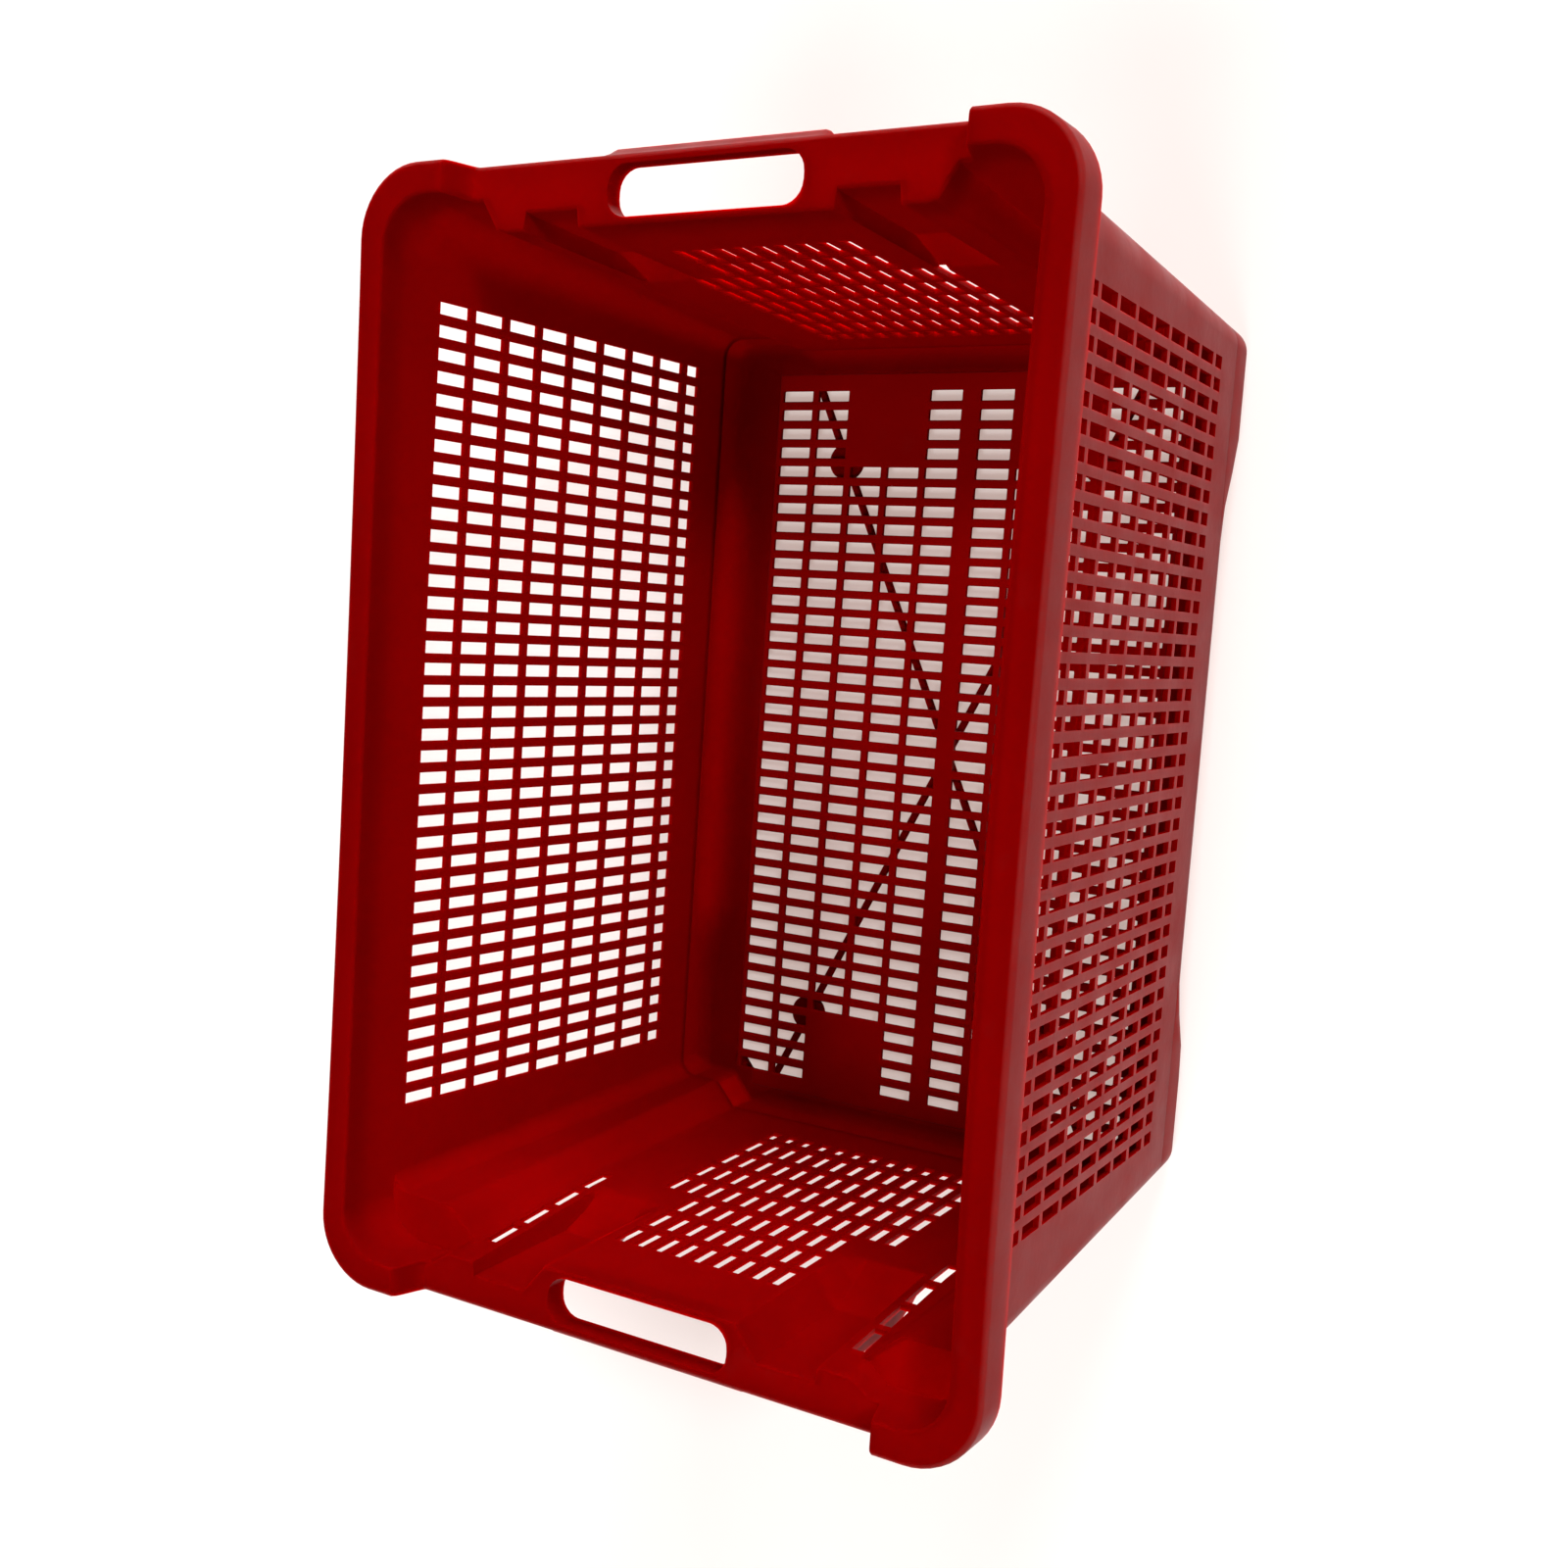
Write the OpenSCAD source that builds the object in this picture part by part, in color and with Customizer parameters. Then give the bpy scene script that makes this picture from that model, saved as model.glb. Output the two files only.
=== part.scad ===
// Perforated grape harvest tub: a stack-and-nest crate with a lowered handle shelf at each end.
// The mouth faces +Z, the long axis is X and the foot stands on Z = 0.
// The lower body sits towards the front end (+X), so its front corners stand out from the end wall
// and its rear corners draw in under two stacking ledges.

/* [Overall] */
// Length over the rim, between the two handle shelves
rim_l = 540; // [500:1:580]
// Width over the rim
rim_w = 360; // [340:1:400]
// Height from the foot to the top of the rim
crate_h = 314; // [308:1:330]
// Thickness of the moulded walls
wall_t = 2.6; // [2:0.1:3.2]
// Draft of the long walls, the end panels and the upright corners, in degrees
draft = 2.5; // [2:0.1:2.8]
// Draft of the lower body's ends, in degrees
body_draft = 4; // [3.8:0.1:4.2]
// Shift of the lower body towards the front end
body_shift = 10.8; // [10:0.1:12]

/* [Rim] */
// Width of the flat flange on top of the rim
flange_w = 15; // [12:0.5:18]
// Depth of the outer skirt that hangs from the flange
skirt_h = 20; // [16:0.5:24]
// Outer radius of the rim's corners
rim_corner_r = 33; // [28:1:36]
// Radius of the flange's outer top edge
rim_edge_r = 2; // [1:0.1:2.4]
// Length of a raised rim corner along the end
cap_w = 48; // [46:1:52]
// Drop from the rim to the handle shelf
shelf_drop = 18; // [14:0.5:19]
// Run of the rounded step between a raised corner and the shelf
step_run = 7; // [5:0.5:9]

/* [Floor and foot] */
// Height of the inside floor above the ground
floor_z = 8; // [7:0.5:10]
// Thickness of the floor grid
floor_t = 3; // [2:0.1:4]
// Inside radius of the upright corners at the floor
corner_r = 10; // [9.5:0.5:12]
// Radius of the foot's outer edge at the corners
foot_r = 9; // [7:0.5:10]
// Radius of the foot's outer edge along the waist of a long side
waist_r = 21; // [16:0.5:22]
// Half length of the waist
waist_half_l = 116; // [100:1:130]
// Length of the blend from the waist to the corner
waist_blend_l = 52; // [40:1:60]
// Width of the border between the floor grid and the upright side wall
border_w = 26; // [24:0.5:28]
// Width of the side foot's flat inner margin
foot_margin = 5; // [4:0.5:6]
// Height where the foot ends and the wall panels start
panel_z = 28; // [27.5:0.5:32]
// Hollows moulded into the underside of a side foot
foot_hollows = 12; // [6:1:16]
// Width of the diagonal ribs under the floor
rib_w = 3.2; // [2:0.1:5]
// Depth of the diagonal ribs under the floor
rib_h = 4; // [3:0.1:4]
// Radius of the round bosses on the diagonal ribs
boss_r = 10.5; // [8:0.5:12]

/* [Perforation] */
// Pitch of the slot rows in the walls and the floor
row_pitch = 11; // [10.5:0.05:11]
// Width of a slot
slot_w = 6.2; // [4:0.1:7]
// Length of a slot in the walls
slot_l = 21.6; // [16:0.1:22]
// Length of the short slots nearest the floor
short_slot_l = 11.6; // [8:0.1:13]
// Pitch of the slot columns up the walls
column_pitch = 25.7; // [25:0.1:26]
// Height of the middle of the top slot column
top_column_z = 262.2; // [258:0.1:264]
// Drop from the last full column to the short one
short_column_drop = 21.5; // [20:0.1:23]
// Shift of the side walls' slot field towards the front end
side_shift = 13.6; // [8:0.1:14]
// Rows of slots in a side wall
side_rows = 37; // [21:2:37]
// Columns of full slots up a wall
columns = 8; // [8:1:8]
// Length of a slot in the floor
floor_slot_l = 20.2; // [16:0.1:21]
// Pitch of the slot columns across the floor
floor_pitch = 24.3; // [23:0.1:24.4]
// Middle distance of the two inner slot columns of the floor
floor_gap = 31.7; // [28:0.1:32]
// Slot rows in one half of the floor
floor_half_rows = 19; // [10:1:19]
// Extra width of the bar across the middle of the floor
floor_bar = 1.2; // [0:0.1:3]
// Rows of slots in the middle field of an end wall
end_rows = 9; // [5:2:9]

/* [Handles] */
// Length of the hand slot
handle_l = 100; // [90:1:110]
// Width of the hand slot
handle_w = 23; // [20:0.5:23]
// Corner radius of the hand slot
handle_r = 10; // [6:0.5:11]
// Depth of the collar round the hand slot
collar_h = 10; // [8:0.5:12]
// Width of the bar between the hand slot and the shelf's outer edge
bar_w = 4.6; // [4:0.1:5]
// Depth of the skirt along the shelf's outer edge
shelf_skirt_h = 12; // [10:0.5:14]
// Length of the flared grip below the shelf's outer edge
grip_l = 114; // [108:1:122]
// How far the grip flares out past the rim
grip_flare = 4.5; // [3:0.1:6]
// Corner radius of the grip in plan
grip_r = 4; // [2:0.1:4.2]

/* [Stacking and nesting] */
// Set-back of the end panels from the inner edge of the rim's flange
pocket_w = 15; // [14:0.5:16]
// Depth of the rear stacking ledges below the rim
ledge_d = 35; // [32:0.5:38]
// Distance from the rim's side to the cheeks beside the end panel
cheek_inset = 69; // [68:0.5:70]
// Run of a slanted cheek along the end
cheek_run = 9; // [7:0.5:10]
// Distance from the middle of the end to a nesting channel
channel_y = 65; // [64:0.5:67]
// Width of the land between a nesting channel and the cheek
land_w = 15; // [15:0.5:18]
// Depth of the front nesting channels
front_channel_d = 8; // [6:0.5:10]
// Depth of the rear nesting channels
rear_channel_d = 14; // [10:0.5:15]
// Height of the foot of a nesting channel
channel_z = 205; // [200:1:206]

/* [Hidden] */
$fn = 48;
overrun = 1;

red = [0.60, 0.02, 0.02];
deep_red = [0.47, 0.01, 0.01];
dusty_red = [0.66, 0.10, 0.09];

// Walls lean out by the same slope all round, so a corner is a plain cone about an upright axis.
slope = tan(draft);
lean_t = wall_t / cos(draft);
half_l = rim_l / 2;
half_w = rim_w / 2;
shelf_z = crate_h - shelf_drop;
function in_w(z) = half_w - flange_w - slope * (crate_h - z);
function in_l(z) = half_l - flange_w - pocket_w - slope * (crate_h - z);
function in_r(z) = corner_r + slope * (z - floor_z);
axis_x = in_l(floor_z) - corner_r;
axis_y = in_w(floor_z) - corner_r;

// The lower body's ends lean more than the walls, so its corners are oblique cones.
// Both ends are drawn as if they faced +X and then put in place.
body_slope = tan(body_draft);
function in_b(z) = half_l - flange_w - body_shift - body_slope * (crate_h - z);
function end_x(front, z) = in_b(z) + (front ? body_shift : -body_shift);
function end_axis(front, z) = end_x(front, z) - in_r(z);
foot_half = in_b(panel_z) - in_r(panel_z);
rim_axis = half_l - flange_w - in_r(crate_h);
grid_half_w = in_w(floor_z) - border_w;
cheek_y = half_w - cheek_inset;
channel_w = cheek_y - land_w - channel_y;

// Foot and slot places that follow from the sizes above
foot_fillet_r = foot_r - rib_w / 2;
waist_fillet_r = waist_r - wall_t;
column_drops = [for (i = [0:columns - 1]) i * column_pitch];
last_column_z = top_column_z - column_drops[columns - 1] - short_column_drop;
floor_half_columns = 1 + floor((grid_half_w - floor_gap / 2 - floor_slot_l / 2) / floor_pitch);
closed_columns = 1;
front_closed_columns = 3;
rear_closed_columns = 4;
land_columns = 4;
outer_end_rows = 2;
blank_rows = 4;
blank_columns = [1, 2];
land_y = (channel_y + channel_w + cheek_y) / 2;
step_y = half_w - cap_w;
rib_end_share = 0.96;
rib_y_share = 0.79;
boss_share = 0.8;
rail_stations = 7;
arc_steps = 8;
step_points = 10;

function smooth(t) = t * t * (3 - 2 * t);

// The four corners and two ends are mirrored copies of the front left ones
module to_end(front) { mirror([front ? 0 : 1, 0, 0]) children(); }
module to_side(left) { mirror([0, left ? 0 : 1, 0]) children(); }
module to_corner(front, left) { to_end(front) to_side(left) children(); }
function channel_d(front) = front ? front_channel_d : rear_channel_d;
ledge_z = crate_h - ledge_d;

// Extrude an outline drawn in Y and Z along X, or one drawn in X and Z along Y
module along_x(x0, x1) {
    translate([x0, 0, 0]) rotate([90, 0, 90]) linear_extrude(x1 - x0) children();
}
module along_y(y0, y1) {
    translate([0, y1, 0]) rotate([90, 0, 0]) linear_extrude(y1 - y0) children();
}

// Section of a wall, measured outwards from the axis of the upright corners
module wall_section(z0, z1) {
    polygon([[in_r(z0), z0], [in_r(z0) + lean_t, z0], [in_r(z1) + lean_t, z1], [in_r(z1), z1]]);
}

// Section of the foot: rounded outside, filleted inside, solid down to the ground.
// A rounding of radius r touches the ground and a wall that starts at r0 and leans out.
function tangent_r(r0, r) = r0 + slope * r - r / cos(draft);
function arc_points(c, r, flip) = [
    for (i = [0:arc_steps])
        let (k = flip ? arc_steps - i : i, a = -draft - k / arc_steps * (90 - draft))
            c + r * [cos(a), sin(a)]
];
module foot_section(z1) {
    polygon(concat(
        [[in_r(z1) + lean_t, z1]],
        arc_points([tangent_r(in_r(0) + lean_t, foot_r), foot_r], foot_r, false),
        [[0, 0], [0, floor_z]],
        arc_points([tangent_r(in_r(floor_z), foot_fillet_r), floor_z + foot_fillet_r], foot_fillet_r, true),
        [[in_r(z1), z1]]
    ));
}

// Panels are cut flat and then leaned: u runs along the wall and v up its slope
function v_of(z) = (z - panel_z) / cos(draft);
module lean_panel(z1, half_u) {
    intersection() {
        translate([0, in_r(panel_z), panel_z])
            rotate([90 - draft, 0, 0])
                translate([0, 0, -wall_t])
                    linear_extrude(wall_t) children();
        translate([-half_u, 0, panel_z])
            cube([2 * half_u, in_r(z1) + lean_t + overrun, z1 - panel_z]);
    }
}
module slot_at(u, z, length) {
    translate([u, v_of(z)]) square([slot_w, length], center = true);
}
module slot_column(u, first, last) {
    for (i = [first:last])
        slot_at(u, top_column_z - column_drops[i], slot_l);
}

// Floor
module floor_slots() {
    for (side = [-1, 1], end = [-1, 1], c = [0:floor_half_columns - 1], r = [0:floor_half_rows - 1]) {
        blank = r >= floor_half_rows - blank_rows && (c == blank_columns[0] || c == blank_columns[1]);
        x = end * (floor_bar / 2 + (r + 1 / 2) * row_pitch);
        y = side * (floor_gap / 2 + c * floor_pitch);
        if (!blank)
            translate([x, y]) square([slot_w, floor_slot_l], center = true);
    }
}
module floor_grid() {
    color(deep_red)
        translate([0, 0, floor_z - floor_t])
            linear_extrude(floor_t) difference() {
                square([2 * axis_x, 2 * grid_half_w], center = true);
                floor_slots();
                for (left = [false, true])
                    to_corner(false, left) polygon([
                        [in_l(floor_z), cheek_y], [end_x(false, floor_z), grid_half_w],
                        [end_x(false, floor_z), half_w], [half_l, half_w], [half_l, cheek_y]
                    ]);
            }
}
module floor_cross_ribs() {
    rib_end = [rib_end_share * axis_x, rib_y_share * grid_half_w];
    angle = atan2(rib_end[1], rib_end[0]);
    color(red)
        translate([0, 0, floor_z - floor_t - rib_h]) {
            for (side = [-1, 1])
                rotate([0, 0, side * angle])
                    translate([-norm(rib_end), -rib_w / 2, 0])
                        cube([2 * norm(rib_end), rib_w, rib_h]);
            for (end = [-1, 1], side = [-1, 1])
                translate([end * boss_share * rib_end[0], side * boss_share * rib_end[1], 0])
                    cylinder(r = boss_r, h = rib_h);
        }
}

// Foot along a long side: its outer edge draws in along the waist
function edge_share(x) = smooth(max(0, min(1, (abs(x) - waist_half_l) / waist_blend_l)));
function blend(a, b, t) = a + (b - a) * t;
function rail_outline(x) =
    let (
        ro = blend(waist_r, foot_r, edge_share(x)),
        ri = blend(waist_fillet_r, foot_fillet_r, edge_share(x)),
        inner = in_w(floor_z),
        outer = in_w(0) + lean_t,
        foot_in = grid_half_w + foot_margin
    )
    concat(
        [[in_w(panel_z) + lean_t, panel_z]],
        arc_points([tangent_r(outer, ro), ro], ro, false),
        [[foot_in, 0], [foot_in, floor_z - floor_t], [grid_half_w, floor_z - floor_t], [grid_half_w, floor_z]],
        arc_points([tangent_r(inner, ri), floor_z + ri], ri, true),
        [[in_w(panel_z), panel_z]]
    );
rail_x = let (half = [
        for (i = [0:rail_stations]) waist_half_l + waist_blend_l * i / rail_stations
    ])
    concat([-foot_half], [for (i = [rail_stations:-1:0]) -half[i]], half, [foot_half]);
module base_rail_side(left) {
    rings = [for (x = rail_x) rail_outline(x)];
    n = len(rings[0]);
    m = len(rings);
    points = [for (s = [0:m - 1], p = rings[s]) [rail_x[s], p[0], p[1]]];
    skin = [
        for (s = [0:m - 2], i = [0:n - 1])
            let (j = (i + 1) % n) [s * n + i, s * n + j, (s + 1) * n + j, (s + 1) * n + i]
    ];
    toe = arc_steps + 1;
    end = concat(
        [for (k = [0:arc_steps]) [k, k + 1, n - 2 - k, n - 1 - k]],
        [[toe, toe + 1, toe + 2, toe + 5], [toe + 2, toe + 3, toe + 4, toe + 5]]
    );
    color(red)
        to_side(left)
            translate([body_shift, 0, 0]) difference() {
                polyhedron(points, concat(
                    skin, [for (c = end) reversed(c)], [for (c = end) [for (i = c) (m - 1) * n + i]]
                ));
                foot_hollow_row();
            }
}
module foot_hollow_row() {
    pitch = 2 * (foot_half - wall_t / 2) / foot_hollows;
    y0 = grid_half_w + foot_margin + wall_t;
    for (i = [0:foot_hollows - 1])
        translate([-foot_half + wall_t + i * pitch, y0, -overrun])
            cube([pitch - wall_t, axis_y - y0, floor_z - floor_t + overrun]);
}
module base_rail_end(front) {
    color(red)
        to_end(front)
            translate([axis_x, 0, 0]) along_y(-cheek_y, cheek_y) foot_section(panel_z);
}

// Upright corners: a foot, then a lofted shell from the long wall round to the end panel's cheek.
// The front ones run up to the rim, the rear ones stop under the stacking ledges.
// A cheek keeps its angle as the body's end leans, so that its faces stay flat.
front_turn = cheek_run / pocket_w;
rear_turn = (grid_half_w - cheek_y) / (in_l(panel_z) - end_x(false, panel_z));
function cheek_start_y(front, z) =
    front ? cheek_y : grid_half_w - rear_turn * (in_l(z) - end_x(false, z));
function cheek_end_y(front, z) =
    front ? cheek_y + front_turn * (end_x(true, z) - in_l(z)) : grid_half_w;
function corner_arc(front, z, r) = [
    for (i = [0:arc_steps])
        let (a = 90 * i / arc_steps)
            [end_axis(front, z) + r * sin(a), axis_y + r * cos(a)]
];
function cheek_inner(front, z) = [
    [end_x(front, z), cheek_end_y(front, z)], [in_l(z), cheek_start_y(front, z)]
];
function cheek_outer(front, z) =
    let (y0 = cheek_start_y(front, z), y1 = cheek_end_y(front, z), back = wall_t / 2)
    front
    ? [[in_l(z) + 2 * lean_t - back, y0], [end_x(true, z) + lean_t, y1 - front_turn * (lean_t - back)]]
    : [[in_l(z) + lean_t, y0], [in_l(z) + lean_t, y0 + back], [end_x(false, z) + lean_t, y1 + back]];
function reversed(list) = [for (i = [len(list) - 1:-1:0]) list[i]];
function full_plan(front, z) = concat(
    corner_arc(front, z, in_r(z)), cheek_inner(front, z),
    cheek_outer(front, z), reversed(corner_arc(front, z, in_r(z) + lean_t))
);
function ring(plan, z) = [for (p = plan) [p[0], p[1], z]];
module loft(rings) {
    n = len(rings[0]);
    m = len(rings);
    points = [for (r = rings, p = r) p];
    skin = [
        for (s = [0:m - 2], i = [0:n - 1])
            let (j = (i + 1) % n, a = s * n, b = s * n + n)
                [a + i, b + i, b + j, a + j]
    ];
    half = floor(n / 2);
    cap = concat(
        [for (k = [0:half - 2]) [k, k + 1, n - 2 - k, n - 1 - k]],
        n % 2 == 1 ? [[half - 1, half, half + 1]] : []
    );
    polyhedron(points, concat(skin, cap, [for (c = cap) [for (i = reversed(c)) (m - 1) * n + i]]));
}
// Foot under a cheek: rounded outside like the foot beside it
function foot_inset(z) = z < foot_r ? foot_r - sqrt(foot_r ^ 2 - (foot_r - z) ^ 2) : 0;
function cheek_edge(front, z) =
    let (meet = front ? [[end_x(true, z) + lean_t, cheek_end_y(true, panel_z)]] : [])
    [for (p = concat(cheek_outer(front, z), meet)) [p[0] - foot_inset(z), p[1]]];
under_floor = floor_z - floor_t;
function pad_levels(top) = concat(
    [for (i = [0:arc_steps]) let (z = foot_r * (1 - cos(60 * i / arc_steps))) if (z < top - overrun) z],
    [top]
);
function front_pad(z) = concat(
    [[axis_x, cheek_y]], cheek_edge(true, z),
    [
        [end_axis(true, panel_z), cheek_end_y(true, panel_z)], [end_axis(true, panel_z), grid_half_w],
        [axis_x, grid_half_w]
    ]
);
front_cheek = concat(cheek_edge(true, panel_z), cheek_inner(true, panel_z));
function rear_pad(z) = concat(
    [[axis_x, cheek_y]], cheek_edge(false, z), [[end_axis(false, panel_z), grid_half_w]]
);
function rear_cheek(z) = concat(cheek_edge(false, z), cheek_inner(false, z));
module foot_shape(front) {
    x = end_axis(front, panel_z);
    translate([x, axis_y, 0]) rotate_extrude(angle = 90) foot_section(panel_z);
    translate([x, 0, 0]) along_y(cheek_end_y(front, panel_z), axis_y) foot_section(panel_z);
    if (!front) {
        loft([for (z = pad_levels(under_floor)) ring(rear_pad(z), z)]);
        loft([for (z = [under_floor, foot_r, panel_z]) ring(rear_cheek(z), z)]);
    }
}
module cheek_foot(left) {
    color(red)
        to_side(left) {
            linear_extrude(floor_z) polygon(front_pad(foot_r / 8));
            translate([0, 0, foot_r / 3]) {
                linear_extrude(floor_z - foot_r / 3) polygon(front_pad(foot_r * 2 / 3));
                linear_extrude(panel_z - foot_r / 3) polygon(front_cheek);
            }
        }
}
module corner_foot(front, left) { color(red) to_corner(front, left) foot_shape(front); }
module corner_post(front, left) {
    z1 = front ? crate_h - wall_t : ledge_z - wall_t;
    color(red)
        to_corner(front, left) {
            difference() {
                loft([for (z = [panel_z, z1]) ring(full_plan(front, z), z)]);
                if (front)
                    translate([0, -overrun, shelf_z - wall_t])
                        cube([half_l + overrun, step_y + overrun, crate_h]);
            }
        }
}

// Perforated walls
module side_wall(left) {
    top = crate_h - wall_t;
    low = panel_z - overrun;
    high = top + overrun;
    color(left ? deep_red : dusty_red)
        to_side(left)
            translate([0, axis_y, 0])
                lean_panel(top, half_l) difference() {
                    polygon([
                        [-end_axis(false, low), v_of(low)], [end_axis(true, low), v_of(low)],
                        [end_axis(true, high), v_of(high)], [-end_axis(false, high), v_of(high)]
                    ]);
                    for (r = [0:side_rows - 1]) {
                        u = side_shift + ((side_rows - 1) / 2 - r) * row_pitch;
                        slot_column(u, 0, columns - 1);
                        slot_at(u, last_column_z, short_slot_l);
                    }
                }
}
module end_slots(front) {
    for (r = [0:end_rows - 1]) {
        u = (r - (end_rows - 1) / 2) * row_pitch;
        slot_column(u, closed_columns, columns - 1);
        slot_at(u, last_column_z, short_slot_l);
    }
    for (side = [-1, 1]) {
        for (r = [1:outer_end_rows]) {
            u = side * ((end_rows - 1) / 2 + r) * row_pitch;
            slot_column(u, front ? front_closed_columns : rear_closed_columns, columns - 1);
            slot_at(u, last_column_z, short_slot_l);
        }
        if (!front)
            slot_column(side * land_y, 0, land_columns - 1);
    }
}
module end_wall(front) {
    top = shelf_z - wall_t;
    foot = channel_z - channel_d(front);
    turn_z = ledge_z - wall_t;
    edge = concat(
        [[cheek_start_y(front, panel_z), v_of(panel_z - overrun)], [cheek_start_y(front, panel_z), 0]],
        front ? [] : [[cheek_start_y(false, turn_z), v_of(turn_z)], [cheek_y, v_of(turn_z)]],
        [[cheek_y, v_of(top + overrun)]]
    );
    color(front ? red : deep_red)
        to_end(front)
            translate([axis_x, 0, 0]) rotate([0, 0, -90])
                lean_panel(top, half_w) difference() {
                    polygon(concat(edge, [for (p = reversed(edge)) [-p[0], p[1]]]));
                    for (u = [-channel_y - channel_w, channel_y])
                        translate([u, v_of(foot)]) square([channel_w, v_of(top) - v_of(foot) + 2 * overrun]);
                    end_slots(front);
                }
}

// Nesting channels: shallow troughs in the end walls, open to the handle shelf
module nest_channel(front, left) {
    d = channel_d(front);
    foot = channel_z - d;
    top = shelf_z - wall_t;
    back = [
        [in_l(foot), foot], [in_l(channel_z) + d, channel_z], [in_l(top) + d, top],
        [in_l(top) + d + lean_t, top], [in_l(channel_z) + d + lean_t, channel_z - wall_t / 2],
        [in_l(foot) + lean_t, foot - wall_t / 2], [in_l(foot) + lean_t, foot]
    ];
    cheek = [
        [in_l(foot) + lean_t, foot - wall_t / 2], [in_l(top) + lean_t, top],
        [in_l(top) + d + lean_t, top], [in_l(channel_z) + d + lean_t, channel_z - wall_t / 2]
    ];
    color(deep_red)
        to_corner(front, left) {
            along_y(channel_y, channel_y + channel_w) polygon(back);
            along_y(channel_y - wall_t, channel_y) polygon(cheek);
            along_y(channel_y + channel_w, channel_y + channel_w + wall_t) polygon(cheek);
        }
}

// Stacking pockets: a broad ledge over each rear corner, with leaning walls up to the rim
module pocket_ledge() {
    z = ledge_z - wall_t;
    r = in_r(z) + lean_t;
    x = rim_axis + r;
    translate([0, 0, z]) linear_extrude(wall_t) difference() {
        union() {
            polygon([
                [in_l(z), cheek_y], [in_l(z) + lean_t, cheek_y], [x, cheek_y + cheek_run], [x, axis_y],
                [rim_axis, axis_y + r], [end_axis(false, z), axis_y + r], [end_axis(false, z), axis_y],
                [end_x(false, z), axis_y], [end_x(false, z), grid_half_w], [in_l(z), cheek_start_y(false, z)]
            ]);
            intersection() {
                translate([rim_axis, axis_y]) circle(r);
                translate([rim_axis, axis_y]) square(r);
            }
        }
        translate([end_axis(false, z), axis_y]) circle(in_r(z));
    }
}
function pocket_cheek(z) = [
    [in_l(z), cheek_y], [in_l(z) + lean_t, cheek_y],
    [in_l(z) + pocket_w + lean_t, cheek_y + cheek_run], [in_l(z) + pocket_w, cheek_y + cheek_run]
];
module stack_pocket(left) {
    z0 = ledge_z;
    z1 = crate_h - wall_t;
    color(red)
        to_corner(false, left) {
            pocket_ledge();
            translate([0, axis_y, 0]) along_x(end_axis(false, z1), rim_axis) wall_section(z0, z1);
            translate([rim_axis, axis_y, 0]) rotate_extrude(angle = 90) wall_section(z0, z1);
            translate([rim_axis, 0, 0]) {
                along_y(step_y, axis_y) wall_section(z0, z1);
                along_y(cheek_y + cheek_run, step_y) wall_section(z0, shelf_z - wall_t);
            }
            loft([for (z = [z0, shelf_z - wall_t]) ring(pocket_cheek(z), z)]);
        }
}

// Rim: a flange with a hanging skirt and a rounded outer edge, drawn outwards from r = 0
module rim_section(inner_r, outer_r) {
    difference() {
        union() {
            translate([inner_r, crate_h - wall_t]) square([outer_r - inner_r, wall_t]);
            translate([outer_r - wall_t, crate_h - skirt_h]) square([wall_t, skirt_h]);
        }
        translate([outer_r - rim_edge_r, crate_h - rim_edge_r]) difference() {
            square(rim_edge_r + overrun);
            circle(rim_edge_r);
        }
    }
}
module side_rim(left) {
    half = rim_axis;
    color(red)
        to_side(left)
            along_x(-half, half) rim_section(in_w(crate_h), half_w);
}

// Raised corner of the rim, with the rounded step down to the handle shelf
rim_axis_x = half_l - rim_corner_r;
rim_axis_y = half_w - rim_corner_r;
step_curve = [
    for (i = [0:step_points])
        [step_y - step_run * (1 - i / step_points), crate_h - shelf_drop * (1 - smooth(i / step_points))]
];
module step_outline() {
    lower = [for (i = [step_points:-1:0]) step_curve[i] + [wall_t, -wall_t]];
    polygon(concat(step_curve, lower, [[step_y - step_run, shelf_z - wall_t]]));
}
module step_skirt_outline() {
    corner = [[step_y, crate_h - skirt_h], [step_y - step_run, shelf_z - shelf_skirt_h]];
    polygon(concat(corner, step_curve));
}
module rim_plan(inset) {
    inner_x = rim_axis;
    inner_r = in_r(crate_h);
    difference() {
        union() {
            translate([inner_x, step_y])
                square([half_l - inset - inner_x, rim_axis_y - step_y]);
            translate([inner_x, step_y])
                square([rim_axis_x - inner_x, half_w - inset - step_y]);
            intersection() {
                translate([rim_axis_x, rim_axis_y]) circle(rim_corner_r - inset);
                translate([rim_axis_x, rim_axis_y]) square(rim_corner_r);
            }
        }
        translate([inner_x, axis_y]) circle(inner_r);
        translate([inner_x - overrun, step_y - overrun])
            square([inner_r + overrun, axis_y - step_y + overrun]);
    }
}
module corner_rim(front, left) {
    inner_x = rim_axis;
    edge = wall_t + rim_edge_r;
    color(red)
        to_corner(front, left) {
            translate([0, 0, crate_h - wall_t]) linear_extrude(wall_t) rim_plan(edge);
            translate([rim_axis_x, rim_axis_y, 0])
                rotate_extrude(angle = 90) rim_section(rim_corner_r - edge, rim_corner_r);
            along_x(inner_x, rim_axis_x) rim_section(half_w - edge, half_w);
            along_y(step_y, rim_axis_y) rim_section(half_l - edge, half_l);
            along_x(inner_x + in_r(crate_h), half_l) step_outline();
            along_x(half_l - wall_t, half_l) step_skirt_outline();
        }
}

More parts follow.
